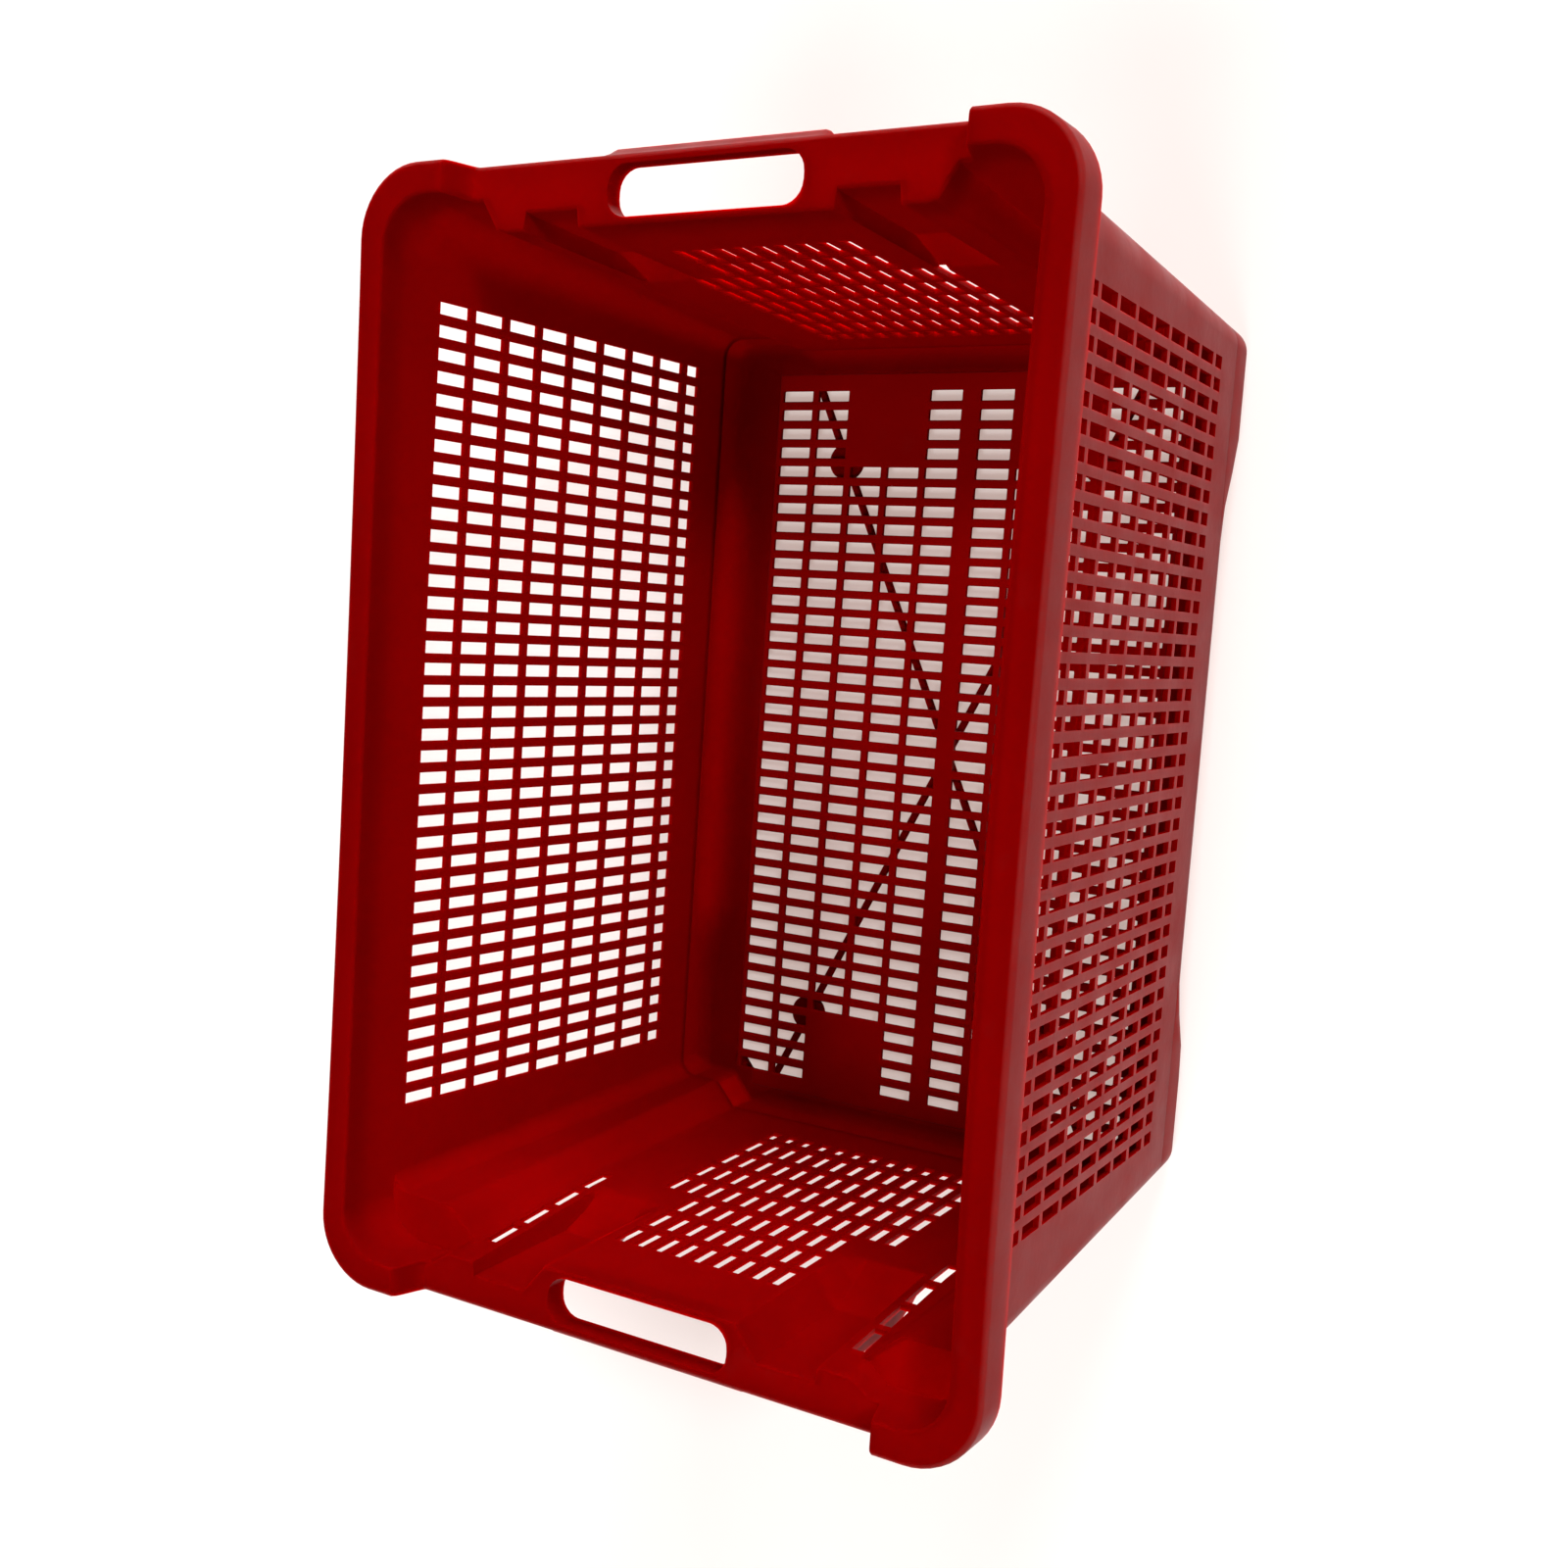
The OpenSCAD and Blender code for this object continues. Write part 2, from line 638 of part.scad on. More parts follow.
// Handle shelf: a lowered flat end with the hand slot, its collar and an outer skirt
module hand_slot(grow) {
    w = handle_w + 2 * grow;
    l = handle_l + 2 * grow;
    r = handle_r + grow;
    translate([half_l - bar_w - handle_w / 2, 0]) {
        square([w - 2 * r, l], center = true);
        square([w, l - 2 * r], center = true);
        for (x = [-1, 1], y = [-1, 1])
            translate([x * (w / 2 - r), y * (l / 2 - r)]) circle(r);
    }
}
module shelf_plan(front) {
    inner = in_l(shelf_z);
    deep = inner + channel_d(front);
    ridge = step_y - step_run;
    half = [
        [inner, channel_y], [deep, channel_y], [deep, channel_y + channel_w],
        [inner, channel_y + channel_w], [inner, cheek_y],
        [inner + pocket_w, cheek_y + cheek_run], [inner + pocket_w, ridge], [half_l, ridge]
    ];
    far = [for (i = [len(half) - 1:-1:0]) [half[i][0], -half[i][1]]];
    polygon(concat(half, far));
}
module handle_shelf(front) {
    color(red)
        to_end(front) {
            translate([0, 0, shelf_z - wall_t]) linear_extrude(wall_t) difference() {
                shelf_plan(front);
                hand_slot(0);
            }
            translate([0, 0, shelf_z - collar_h]) linear_extrude(collar_h - wall_t) difference() {
                intersection() {
                    hand_slot(wall_t);
                    translate([in_l(shelf_z) + lean_t, -half_w]) square([half_l, rim_w]);
                }
                hand_slot(0);
            }
            difference() {
                translate([half_l - wall_t, -step_y + step_run, shelf_z - shelf_skirt_h])
                    cube([wall_t, 2 * (step_y - step_run), shelf_skirt_h - wall_t]);
                translate([0, 0, shelf_z - collar_h])
                    linear_extrude(collar_h) hand_slot(wall_t);
            }
        }
}

// Grip: the shelf's skirt flares out below the hand slot to give a broad edge for the fingers
module handle_grip(front) {
    top = shelf_z - wall_t / 2;
    foot = shelf_z - shelf_skirt_h;
    color(dusty_red)
        to_end(front)
            intersection() {
                along_y(-grip_l / 2, grip_l / 2)
                    polygon([
                        [half_l, top], [half_l + grip_flare, foot + wall_t],
                        [half_l + grip_flare, foot], [half_l, foot]
                    ]);
                translate([half_l + grip_flare - grip_r, 0, foot - overrun])
                    linear_extrude(shelf_skirt_h + 2 * overrun) {
                        square([2 * grip_r, grip_l - 2 * grip_r], center = true);
                        translate([-2 * grip_r, -grip_l / 2]) square([2 * grip_r, grip_l]);
                        for (y = [-1, 1])
                            translate([0, y * (grip_l / 2 - grip_r)]) circle(grip_r);
                    }
            }
}

floor_grid();
floor_cross_ribs();
base_rail_side(true);  // base_rail_left
base_rail_side(false);  // base_rail_right
base_rail_end(true);  // base_rail_front
base_rail_end(false);  // base_rail_rear
corner_foot(true, true);  // corner_foot_front_left
corner_foot(true, false);  // corner_foot_front_right
corner_foot(false, true);  // corner_foot_rear_left
corner_foot(false, false);  // corner_foot_rear_right
cheek_foot(true);  // cheek_foot_left
cheek_foot(false);  // cheek_foot_right
corner_post(true, true);  // corner_post_front_left
corner_post(true, false);  // corner_post_front_right
corner_post(false, true);  // corner_post_rear_left
corner_post(false, false);  // corner_post_rear_right
side_wall(true);  // side_wall_left
side_wall(false);  // side_wall_right
end_wall(true);  // end_wall_front
end_wall(false);  // end_wall_rear
nest_channel(true, true);  // nest_channel_front_left
nest_channel(true, false);  // nest_channel_front_right
nest_channel(false, true);  // nest_channel_rear_left
nest_channel(false, false);  // nest_channel_rear_right
stack_pocket(true);  // stack_pocket_rear_left
stack_pocket(false);  // stack_pocket_rear_right
side_rim(true);  // side_rim_left
side_rim(false);  // side_rim_right
corner_rim(true, true);  // corner_rim_front_left
corner_rim(true, false);  // corner_rim_front_right
corner_rim(false, true);  // corner_rim_rear_left
corner_rim(false, false);  // corner_rim_rear_right
handle_shelf(true);  // handle_shelf_front
handle_shelf(false);  // handle_shelf_rear
handle_grip(true);  // handle_grip_front
handle_grip(false);  // handle_grip_rear
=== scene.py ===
import bpy
import math
from collections import namedtuple
from mathutils import Matrix, Vector


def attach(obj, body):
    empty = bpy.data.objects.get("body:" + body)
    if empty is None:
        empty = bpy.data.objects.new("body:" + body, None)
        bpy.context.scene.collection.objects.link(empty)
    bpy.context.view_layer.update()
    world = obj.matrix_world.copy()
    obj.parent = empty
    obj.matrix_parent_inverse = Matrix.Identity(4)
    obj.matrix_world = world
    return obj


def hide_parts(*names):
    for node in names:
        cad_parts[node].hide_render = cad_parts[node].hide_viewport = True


# Grape harvest tub: one red moulding, made here of a shell, a floor plate and a foot in the CAD's frame
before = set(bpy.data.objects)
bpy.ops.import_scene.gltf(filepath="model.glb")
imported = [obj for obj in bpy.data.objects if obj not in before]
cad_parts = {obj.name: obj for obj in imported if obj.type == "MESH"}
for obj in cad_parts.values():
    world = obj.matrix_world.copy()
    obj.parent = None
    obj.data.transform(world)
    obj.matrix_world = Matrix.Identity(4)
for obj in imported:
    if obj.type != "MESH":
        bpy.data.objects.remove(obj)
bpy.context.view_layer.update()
scene = bpy.context.scene
scene.view_settings.view_transform = "Standard"

# Sizes of the tub in millimetres: x runs along it to the front end, y to its left side, z up
PER_METRE = 1000.0
# Heights of the rim, the handle shelf, the stacking ledge and its step, the floor, the foot and a plain band
HEIGHT = 314.0
SHELF = 296.0
LEDGE = 279.0
LEDGE_STEP = 0.8
FLOOR = 8.0
FOOT_TOP = 28.0
BAND_Z = 41.0
# Half sizes of the rim, its flange, the end panels' inset, wall and floor thickness, lean of walls and ends
HALF_L = 270.0
HALF_W = 180.0
FLANGE = 15.0
END_INSET = 30.0
WALL = 2.6
PLATE = 3.0
LEAN = math.tan(math.radians(2.5))
END_LEAN = math.tan(math.radians(4.0))
# The lower body is set this far towards the front end
SHIFT = 10.8
# Corner radii, inside at the floor and outside at the rim
CORNER_R = 10.0
RIM_R = 33.0
# Roundings of the rim's inner and outer edge
INNER_R = 1.5
OUTER_R = 3.0
# The long rims bow inwards, and their inner edges swell, by side
RIM_BOW = 1.5
SWELL = {1: 0.5, -1: 3.0}
# Depth of the skirt below the shelves and below the rest of the rim
SHELF_SKIRT = 12.0
RIM_SKIRT = 20.0
# Rounded step of the rim between a shelf and a corner
STEP_Y = 125.0
STEP_W = 7.0

# Wall slots: width and pitch along the wall, heights of their middles, half heights; the lowest row is short
SLOT = 6.2
PITCH = 11.0
SLOT_Z = [262.2 - 25.7 * k for k in range(8)]
SLOT_HALF = 10.79
SHORT_Z = 60.8
SHORT_HALF = 5.8
# How far the slot fields reach either way, in slots; the long walls' field has its own middle
SIDE_MID = 13.6
SIDE_REACH = 18
END_REACH = 6
# The end walls' middle slots start in this row from the top, the outer ones below the channels
MIDDLE_REACH = 4
MIDDLE_ROW = 1
FRONT_OUTER_ROW = 3
REAR_OUTER_ROW = 4
# One more slot in each upper row, in the land beside a rear channel
LAND_SLOT_Y = 103.5
LAND_ROWS = 4

# Cheeks between end panels and corners: the front ones spread upwards, the rear ones step at the ledge
FRONT_CHEEK = 104.0
FRONT_SPREAD = 8.0
CHEEK_W = 8.5
LOW_CHEEK = 114.0
LOW_CHEEK_STOP = 126.5
HIGH_CHEEK = 112.0
HIGH_CHEEK_STOP = 121.5
# The front panel stops this far before its cheeks and rounds outwards as much over a run
EDGE = 1.5
EDGE_RUN = 6.0
# The land beside a rear channel leans out above its foot, and the low cheek follows it in part
LAND_FOOT = 185.0
LAND_LEAN = 8.5
LAND_SHARE = 0.7
# Nesting channels: foot, sides, depth and the height over which they deepen
CHANNEL_FOOT = 191.0
CHANNEL_IN = 65.0
CHANNEL_OUT = 96.0
CHANNEL_EDGE = 1.1
FRONT_DEPTH = 8.0
FRONT_RISE = 30.0
REAR_SPLAY = 12.0
REAR_DEPTH = 15.0
REAR_RISE = 24.0

# Hand slot in a shelf: half of its straight part, radius of its ends, edges and the depth of its collar
HAND_FLAT = 40.0
HAND_R = 10.0
HAND_HALF = HAND_FLAT + HAND_R
HAND_IN = 242.4
HAND_OUT = 265.4
FRONT_COLLAR = 10.0
REAR_COLLAR = 13.0
# The shelf's rows follow the hand slot's edges up to here
HAND_REACH = 62.0
# Flared grip below it: half of its straight part, length of its ends, flare
GRIP_FLAT = 53.0
GRIP_END = 4.0
GRIP_FLARE = 4.5

# Floor: half sizes, slot rows and columns from the middle, and the four fields without slots
GRID_W = 125.6
GRID_L = 216.6
FLOOR_ROWS = 19
FLOOR_ROW_START = 0.6
FLOOR_COLUMNS = 5
FLOOR_COLUMN_START = 15.85
FLOOR_COLUMN_PITCH = 24.3
FLOOR_SLOT_HALF = 10.1
BLANK_ROW = 15
BLANK_COLUMNS = (1, 2)
# The floor's rear corners start here
REAR_CORNER_X = 207.2

# Foot: outer rounding and inner fillet, also along the waist of the long sides, which is drawn in
FOOT_R = 9.0
FOOT_FILLET = 7.4
REAR_FILLET = 3.0
WAIST_R = 27.0
WAIST_FILLET = 18.4
WAIST_HALF = 116.0
WAIST_RUN = 50.0
WAIST_DRAW = 4.0
DRAW_POWER = 1.5
# Width of the heel, and how far heel and sole stay outside the floor's edge along the long sides
HEEL = 7.0
HEEL_LEAST = 5.0
SOLE_LEAST = 7.0
# Where the foot has its sections
FOOT_SIDE_STEP = 18.0
FOOT_END_STEP = 20.0
FOOT_ZONE_Y = (136.5, 130.0)

# Steps in a quarter turn round a corner, along the foot's fillet and along its outer rounding
ARC = 12
FILLET_STEPS = 6
ROUND_STEPS = 8
# Places nearer than this count as one
NEAR = 0.01


def clamp(t):
    return max(0.0, min(1.0, t))


def smooth(t):
    t = clamp(t)
    return t * t * (3.0 - 2.0 * t)


def mix(a, b, t):
    return a + (b - a) * t


def half_width(z):
    """Inside half width between the long walls"""
    return HALF_W - FLANGE - LEAN * (HEIGHT - z)


def panel_x(z):
    """Distance of the end panels' inside from the middle"""
    return HALF_L - END_INSET - LEAN * (HEIGHT - z)


def corner_radius(z):
    """Inside radius of a corner that widens upwards"""
    return CORNER_R + LEAN * (z - FLOOR)


def corner_x(front, z):
    """Distance of the corners' end faces from the middle, below a stacking ledge at the rear"""
    return HALF_L - FLANGE - END_LEAN * (HEIGHT - z) - (0.0 if front else 2 * SHIFT)


# Where the corners' rounding is centred, across the tub and, above the ledge, along it
AXIS_Y = half_width(FLOOR) - CORNER_R
RIM_AXIS = HALF_L - FLANGE - corner_radius(HEIGHT)
# A zone is the flat end face of a corner, from its cheek to its rounding
ZONE_START = FRONT_CHEEK + FRONT_SPREAD + CHEEK_W

# A station is a place round the tub in plan. end and side are +1 or -1, with end 0 along the long walls, and
# at is a distance along the wall, an angle in a corner or a share of a cheek.
Station = namedtuple("Station", "kind end side at")

SLOT_SIDES = (-SLOT / 2, SLOT / 2)
SIDE_X = sorted(
    SIDE_MID + r * PITCH + s for r in range(-SIDE_REACH, SIDE_REACH + 1) for s in SLOT_SIDES
)
END_Y = sorted(
    [r * PITCH + s for r in range(END_REACH + 1) for s in SLOT_SIDES if r * PITCH + s > 0.0]
    + [HAND_FLAT + HAND_R * t for t in (0.0, 0.26, 0.5, 0.866, 0.96, 1.0)]
    + [GRIP_FLAT + GRIP_END * t for t in (0.0, 0.5, 0.825, 1.0)]
    + [CHANNEL_IN, CHANNEL_IN + CHANNEL_EDGE, (CHANNEL_IN + CHANNEL_OUT) / 2]
    + [CHANNEL_OUT - CHANNEL_EDGE, CHANNEL_OUT]
    + [LAND_SLOT_Y + s for s in SLOT_SIDES]
)
ZONE_Y = [STEP_Y + y for y in (0.0, 1.2, 2.4, 3.5, 4.6, 5.8, STEP_W, 11.5)]
CHEEK_SHARES = (1.0, 0.5, 0.0)


def side_run(side):
    return [Station("side", 0, side, x) for x in SIDE_X]


def corner_run(end, side):
    """From the long wall round to the end panel"""
    arc = [Station("arc", end, side, 90.0 * i / ARC) for i in range(ARC + 1)]
    zone = [Station("zone", end, side, y) for y in reversed(ZONE_Y)]
    cheek = [Station("cheek", end, side, q) for q in CHEEK_SHARES]
    return arc + zone + cheek


def end_run(end):
    ys = [-y for y in reversed(END_Y)] + END_Y
    return [Station("panel", end, 1 if y > 0 else -1, y) for y in ys]


def all_round(along_side, round_corner, along_end):
    """Four sides and corners in order, against the clock from the right side's rear end"""
    return (
        along_side(-1) + round_corner(1, -1) + along_end(1) + round_corner(1, 1)[::-1]
        + along_side(1)[::-1] + round_corner(-1, 1) + along_end(-1)[::-1] + round_corner(-1, -1)[::-1]
    )


def land(z):
    """How far the land beside a rear channel leans out of the end panel's plane"""
    return LAND_LEAN * clamp((z - LAND_FOOT) / (SHELF - LAND_FOOT))


def cheek_ys(end, z, high):
    """Where a cheek leaves the end panel and where it reaches the corner's plane"""
    if end > 0:
        start = FRONT_CHEEK + FRONT_SPREAD * clamp((z - FLOOR) / (SHELF - FLOOR))
        return start, start + CHEEK_W
    if high:
        return HIGH_CHEEK, HIGH_CHEEK_STOP
    return LOW_CHEEK - LAND_SHARE * land(z), LOW_CHEEK_STOP


def channel(end, y, z):
    """Outward step of a nesting channel in an end panel

    The rear ones open wide and lie beside a leaning land.
    """
    y = abs(y)
    if end > 0:
        across = clamp((y - CHANNEL_IN) / CHANNEL_EDGE) * clamp((CHANNEL_OUT - y) / CHANNEL_EDGE)
        return FRONT_DEPTH * across * clamp((z - CHANNEL_FOOT) / FRONT_RISE)
    across = clamp((y - CHANNEL_IN + REAR_SPLAY) / REAR_SPLAY)
    deep = REAR_DEPTH * across * clamp((z - CHANNEL_FOOT) / REAR_RISE)
    return mix(deep, land(z), clamp((y - CHANNEL_OUT + CHANNEL_EDGE) / CHANNEL_EDGE))


def inner(st, z, high=False):
    """Point of the inside surface in plan; high is for the rim's part, above a stacking ledge"""
    if st.kind == "side":
        return st.at, st.side * half_width(z)
    front = st.end > 0
    # The lower body's rear corners keep a small radius, the others widen upwards
    radius = corner_radius(z) if front or high else CORNER_R
    axis_y = half_width(z) - radius
    wall = corner_x(front, z) if front or not high else RIM_AXIS + corner_radius(z)
    if st.kind == "arc":
        a = math.radians(st.at)
        return st.end * (wall - radius + radius * math.sin(a)), st.side * (axis_y + radius * math.cos(a))
    start, stop = cheek_ys(st.end, z, high)
    if st.kind == "zone":
        q = (st.at - ZONE_START) / (AXIS_Y - ZONE_START)
        return st.end * wall, st.side * mix(stop, axis_y, q)
    y = start if st.kind == "cheek" else st.at
    if front:
        # The front panel ends at its cheeks, over a rounded edge
        most = start if st.kind == "cheek" else start - EDGE
        y = math.copysign(min(abs(y), most), y)
    panel = panel_x(z) + channel(st.end, y, z)
    if front:
        panel += EDGE * clamp((abs(y) - start + EDGE_RUN) / EDGE_RUN) ** 2
    if st.kind == "cheek":
        return st.end * mix(panel, wall, st.at), st.side * mix(start, stop, st.at)
    return st.end * panel, y


def rim_top(st):
    """Height of the rim: the shelf is lower than the corners and the long sides"""
    if st.kind == "panel" or st.kind == "cheek":
        return SHELF
    if st.kind == "zone":
        return mix(SHELF, HEIGHT, smooth((st.at - STEP_Y) / STEP_W))
    return HEIGHT


def arch(x):
    """1 at the middle of a long rim, 0 where its corners start"""
    return 1.0 - (x / (HALF_L - RIM_R)) ** 2


def rim_out(st):
    """Point of the rim's outer edge in plan"""
    if st.kind == "side":
        return st.at, st.side * (HALF_W - RIM_BOW * arch(st.at))
    if st.kind == "arc":
        a = math.radians(st.at)
        x = HALF_L - RIM_R + RIM_R * math.sin(a)
        y = HALF_W - RIM_R + RIM_R * math.cos(a)
        return st.end * x, st.side * y
    return st.end * HALF_L, inner(st, SHELF, True)[1]


def quarter(t):
    """Height of a quarter circle over its foot, 1 at the middle and 0 at the end"""
    t = clamp(t)
    return math.sqrt(max(0.0, 1.0 - t * t))


def hand_edges(y):
    """Inner and outer edge of the hand slot at a distance from its middle"""
    drop = HAND_R - HAND_R * quarter((abs(y) - HAND_FLAT) / HAND_R)
    return HAND_IN + drop, HAND_OUT - drop


# Rows up the wall: foot, slot edges, channel feet and the lower row of a stacking ledge
WALL_ROWS = sorted(
    [FOOT_TOP, BAND_Z, SHORT_Z - SHORT_HALF, SHORT_Z + SHORT_HALF]
    + [CHANNEL_FOOT, CHANNEL_FOOT + 6.0, CHANNEL_FOOT + 14.0, LEDGE - LEDGE_STEP]
    + [z + s * SLOT_HALF for z in SLOT_Z for s in (-1, 1)]
)
# Rows from the ledge up to the rim, over its inner edge, across it, over its outer edge and down the skirt
HIGH_SHARES = (0.0, 0.3, 0.6, 0.85, 1.0)
INNER_TURNS = (30.0, 60.0, 90.0)
FLAT_SHARES = (0.45, 0.62)
OUTER_TURNS = (0.0, 30.0, 60.0, 90.0)
# Share of the skirt's depth with share of the grip's flare
SKIRT_SHARES = ((0.55, 0.55), (0.85, 1.0), (1.0, 1.0))
# How much of the inner edge's swell the two rows below it take
SWELL_BELOW = ((-2, 0.6), (-3, 0.25))
HAND_ROW = len(WALL_ROWS) + len(HIGH_SHARES) + len(INNER_TURNS)


def column(st):
    """All points of a station, from the foot up the inside and out over the rim"""
    pts = [inner(st, z) + (z,) for z in WALL_ROWS]
    top = rim_top(st)
    last = top - INNER_R
    for t in HIGH_SHARES:
        z = mix(LEDGE, last, t)
        pts.append(inner(st, z, True) + (z,))
    a = Vector(pts[-1][:2])
    b = Vector(rim_out(st))
    if st.kind == "side":
        swell = SWELL[st.side] * arch(st.at)
        a.y -= st.side * swell
        pts[-1] = (a.x, a.y, last)
        for k, share in SWELL_BELOW:
            x, y, z = pts[k]
            pts[k] = (x, y - st.side * swell * share, z)
    d = (b - a).normalized()
    for turn in INNER_TURNS:
        t = math.radians(turn)
        p = a + d * INNER_R * (1 - math.cos(t))
        pts.append((p.x, p.y, last + INNER_R * math.sin(t)))
    if st.kind == "panel" and abs(st.at) < HAND_REACH:
        for x in hand_edges(st.at):
            pts.append((st.end * x, st.at, top))
    else:
        flat_in = a + d * INNER_R
        flat_out = b - d * OUTER_R
        for t in FLAT_SHARES:
            p = flat_in.lerp(flat_out, t)
            pts.append((p.x, p.y, top))
    for turn in OUTER_TURNS:
        t = math.radians(turn)
        p = b - d * OUTER_R * (1 - math.sin(t))
        pts.append((p.x, p.y, top - OUTER_R * (1 - math.cos(t))))
    skirt = mix(SHELF_SKIRT, RIM_SKIRT, (top - SHELF) / (HEIGHT - SHELF))
    flare = 0.0
    if st.kind == "panel":
        flare = GRIP_FLARE * quarter((abs(st.at) - GRIP_FLAT) / GRIP_END)
    for share, out in SKIRT_SHARES:
        p = b + d * flare * out
        pts.append((p.x, p.y, top - OUTER_R - (skirt - OUTER_R) * share))
    return pts


def spans(middle, half, a, b):
    """True where a to b lies within half of the middle"""
    return a > middle - half - NEAR and b < middle + half + NEAR


def slot_row(low, high):
    """Number of the row of slots that a strip of the wall lies in, from the top, or None"""
    for k, z in enumerate(SLOT_Z):
        if spans(z, SLOT_HALF, low, high):
            return k
    if spans(SHORT_Z, SHORT_HALF, low, high):
        return len(SLOT_Z)
    return None


def open_cell(st, following, j):
    """True where a slot goes through the wall or the hand slot through the shelf"""
    if st.kind != following.kind or st.kind not in ("side", "panel"):
        return False
    low, high = sorted((st.at, following.at))
    if st.kind == "panel" and j == HAND_ROW:
        return spans(0.0, HAND_HALF, low, high)
    if j + 1 >= len(WALL_ROWS):
        return False
    row = slot_row(WALL_ROWS[j], WALL_ROWS[j + 1])
    if row is None:
        return False
    middle = (low + high) / 2
    if st.kind == "side":
        r = round((middle - SIDE_MID) / PITCH)
        return abs(r) <= SIDE_REACH and spans(SIDE_MID + r * PITCH, SLOT / 2, low, high)
    if st.end < 0 and row < LAND_ROWS and abs(abs(middle) - LAND_SLOT_Y) < SLOT / 2:
        return True
    r = round(middle / PITCH)
    if not spans(r * PITCH, SLOT / 2, low, high):
        return False
    if abs(r) <= MIDDLE_REACH:
        return row >= MIDDLE_ROW
    return abs(r) <= END_REACH and row >= (FRONT_OUTER_ROW if st.end > 0 else REAR_OUTER_ROW)


def build(name, verts, faces):
    mesh = bpy.data.meshes.new(name)
    mesh.from_pydata([(x / PER_METRE, y / PER_METRE, z / PER_METRE) for x, y, z in verts], [], faces)
    mesh.validate()
    mesh.update()
    for p in mesh.polygons:
        p.use_smooth = True
    obj = bpy.data.objects.new(name, mesh)
    scene.collection.objects.link(obj)
    return obj


def thicken(obj, thickness):
    mod = obj.modifiers.new("thickness", "SOLIDIFY")
    mod.thickness = thickness / PER_METRE
    mod.offset = -1.0
    mod.use_rim = True


def weigh_normals(obj, keep_sharp):
    mod = obj.modifiers.new("normals", "WEIGHTED_NORMAL")
    mod.keep_sharp = keep_sharp
    mod.weight = 60


def round_edges(obj, width, segments):
    mod = obj.modifiers.new("rounding", "BEVEL")
    mod.width = width / PER_METRE
    mod.segments = segments
    mod.limit_method = "ANGLE"
    mod.angle_limit = math.radians(50.0)
    mod.use_clamp_overlap = True
    weigh_normals(obj, keep_sharp=True)


def shell_mesh():
    """Walls, corners, channels, ledges, rim and shelves, with the collars of the hand slots"""
    stations = all_round(side_run, corner_run, end_run)
    columns = [column(st) for st in stations]
    rows = len(columns[0])
    verts = [p for points in columns for p in points]
    faces = []
    for i, st in enumerate(stations):
        n = (i + 1) % len(stations)
        for j in range(rows - 1):
            if not open_cell(st, stations[n], j):
                faces.append((i * rows + j, i * rows + j + 1, n * rows + j + 1, n * rows + j))
    # A collar hangs from the edge of each hand slot
    for end, depth in ((1, FRONT_COLLAR), (-1, REAR_COLLAR)):
        around = [
            i * rows + HAND_ROW for i, st in enumerate(stations)
            if st.kind == "panel" and st.end == end and abs(st.at) <= HAND_HALF + NEAR
        ]
        loop = around + [k + 1 for k in reversed(around)]
        first = len(verts)
        for k in loop:
            x, y, _ = verts[k]
            verts.append((x, y, SHELF - depth))
        for k in range(len(loop)):
            n = (k + 1) % len(loop)
            faces.append((loop[k], first + k, first + n, loop[n]))
    return verts, faces


def floor_mesh():
    """The floor plate, cell by cell between the edges of its slots"""
    edges_x = {-GRID_L, GRID_L, 0.0}
    edges_y = {-GRID_W, GRID_W, -LOW_CHEEK, LOW_CHEEK, 0.0}
    holes = []
    for end in (-1, 1):
        for r in range(FLOOR_ROWS):
            x = end * (FLOOR_ROW_START + (r + 0.5) * PITCH)
            edges_x.update((round(x - SLOT / 2, 3), round(x + SLOT / 2, 3)))
            for side in (-1, 1):
                for c in range(FLOOR_COLUMNS):
                    y = side * (FLOOR_COLUMN_START + c * FLOOR_COLUMN_PITCH)
                    edges_y.update((round(y - FLOOR_SLOT_HALF, 3), round(y + FLOOR_SLOT_HALF, 3)))
                    if r < BLANK_ROW or c not in BLANK_COLUMNS:
                        holes.append((x, y))
    xs = sorted(edges_x)
    ys = sorted(edges_y)
    verts = [(x, y, FLOOR) for x in xs for y in ys]
    faces = []
    for i in range(len(xs) - 1):
        for j in range(len(ys) - 1):
            mid_x = (xs[i] + xs[i + 1]) / 2
            mid_y = (ys[j] + ys[j + 1]) / 2
            if any(abs(mid_x - x) < SLOT / 2 and abs(mid_y - y) < FLOOR_SLOT_HALF for x, y in holes):
                continue
            if mid_x < -REAR_CORNER_X and abs(mid_y) > LOW_CHEEK:
                continue
            a = i * len(ys) + j
            faces.append((a, a + len(ys), a + len(ys) + 1, a + 1))
    return verts, faces


# A section of the foot: its station, the way out, the floor's edge there, outer rounding and inner fillet
Section = namedtuple("Section", "st out edge radius fillet")


def foot_side(side):
    """Along a long side, with its waist"""
    sections = []
    for i in range(-10, 12):
        x = i * FOOT_SIDE_STEP
        share = smooth((abs(x - SIDE_MID) - WAIST_HALF) / WAIST_RUN)
        radius = mix(WAIST_R, FOOT_R, share)
        fillet = mix(WAIST_FILLET, FOOT_FILLET, share)
        sections.append(Section(Station("side", 0, side, x), (0, side), (x, side * GRID_W), radius, fillet))
    return sections


